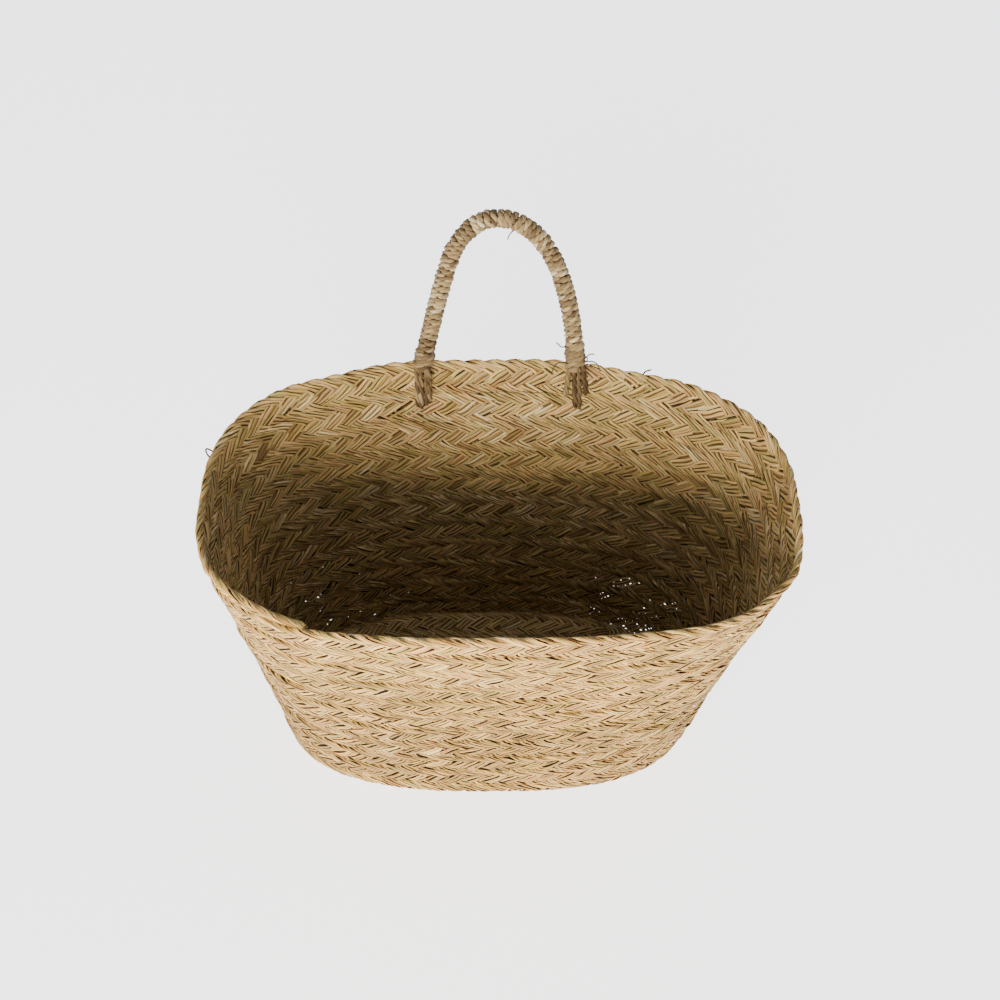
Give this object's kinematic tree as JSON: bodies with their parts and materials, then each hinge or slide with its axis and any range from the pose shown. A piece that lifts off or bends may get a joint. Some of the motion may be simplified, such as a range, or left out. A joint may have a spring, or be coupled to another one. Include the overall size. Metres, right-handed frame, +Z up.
{
  "type": "seagrass storage basket",
  "caption": "Oval open storage basket of plaited seagrass, sewn row on row, with flared walls and an arched wound-rope handle tied to the back of the rim.",
  "frame": {"origin": "middle of the bottom of the box that holds the whole basket, on the plane that the floor rests on", "axes": "+X to the right along the length of the oval, +Y to the back, where the handle is, +Z up"},
  "size_m": [0.3808, 0.2498, 0.3569],
  "materials": {
    "plaited_seagrass": "dry plaited seagrass, matt with a faint sheen on the blades",
    "seagrass_cord": "matt twisted seagrass cord, fuzzy",
    "wound_cord": "matt twisted seagrass cord",
    "rope_core": "matt seagrass rope"
  },
  "bodies": {
    "basket": {"floor_middle": "plaited_seagrass", "floor_turn_01": "plaited_seagrass", "floor_turn_02": "plaited_seagrass", "floor_turn_03": "plaited_seagrass", "wall_turn_01": "plaited_seagrass", "wall_turn_02": "plaited_seagrass", "wall_turn_03": "plaited_seagrass", "wall_turn_04": "plaited_seagrass", "wall_turn_05": "plaited_seagrass", "wall_turn_06": "plaited_seagrass", "wall_turn_07": "plaited_seagrass", "wall_turn_08": "plaited_seagrass", "wall_turn_09": "plaited_seagrass", "wall_turn_10": "plaited_seagrass", "rim_turn": "plaited_seagrass", "tie_left": "seagrass_cord", "tie_right": "seagrass_cord"},
    "handle": {"handle_core": "rope_core", "handle_winding": "wound_cord", "collar_left": "wound_cord", "collar_right": "wound_cord"}
  },
  "joints": [
    {"name": "handle_swing", "type": "hinge", "parent": "basket", "child": "handle", "pos_m": [-0.00122, 0.08877, 0.2457], "axis": [1, 0, 0], "range_deg": [-24, 100]}
  ]
}
